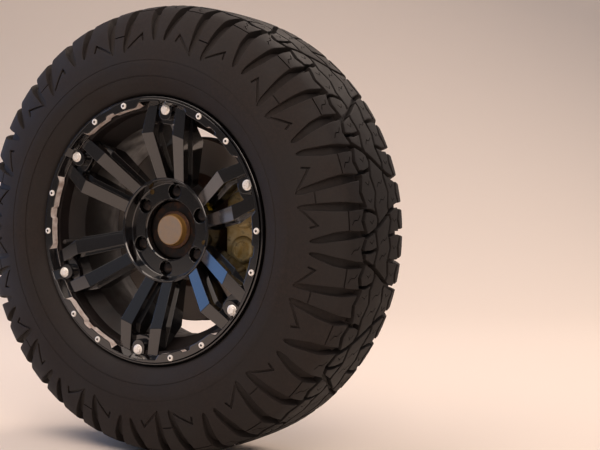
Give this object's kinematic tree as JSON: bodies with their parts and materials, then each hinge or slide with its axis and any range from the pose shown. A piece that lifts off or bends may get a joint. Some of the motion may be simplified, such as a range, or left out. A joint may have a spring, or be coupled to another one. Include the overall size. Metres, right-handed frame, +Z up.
{
  "type": "front wheel end of a lifted off-road 4x4, tyre to steering knuckle",
  "caption": "Front left wheel end of a lifted off-road 4x4: mud tyre, spoked wheel with bolted ring, disc brake, hub and steering knuckle.",
  "frame": {"origin": "point where the kingpin axis crosses the wheel axis", "axes": "+Y inboard along the wheel axis, +Z up, +X towards the rear of the vehicle"},
  "size_m": [0.8035, 0.2893, 0.8037],
  "materials": {
    "tyre": "matt moulded rubber",
    "rim_paint": "dark gloss paint",
    "ring_paint": "satin black coat",
    "wheel_face": "gloss black paint",
    "zinc_bolt": "zinc plate, satin",
    "black_nut": "black oxide",
    "valve_rubber": "matt",
    "hub_steel": "dull, as worn",
    "cap_metal": "dusty, rust at the brim",
    "disc_iron": "swept bright",
    "shield_steel": "dull grey",
    "caliper_paint": "satin",
    "pad": "matt friction material",
    "knuckle_iron": "as cast, dull"
  },
  "bodies": {
    "knuckle": {"bearing_housing": "hub_steel", "dust_shield": "shield_steel", "brake_caliper": "caliper_paint", "brake_pads": "pad", "knuckle_bolts": "zinc_bolt", "knuckle": "knuckle_iron"},
    "wheel": {"tyre": "tyre", "rim_barrel": "rim_paint", "clamp_ring": "ring_paint", "hub_pad": "wheel_face", "spokes": "wheel_face", "bolt_bosses": "wheel_face", "spoke_bolts": "zinc_bolt", "wheel_nuts": "black_nut", "valve_stem": "valve_rubber", "wheel_hub": "hub_steel", "hub_cap": "cap_metal", "brake_disc": "disc_iron"}
  },
  "joints": [
    {"name": "wheel_spin", "type": "hinge", "parent": "knuckle", "child": "wheel", "pos_m": [0, 0, 0], "axis": [0, 1, 0], "continuous": true}
  ]
}
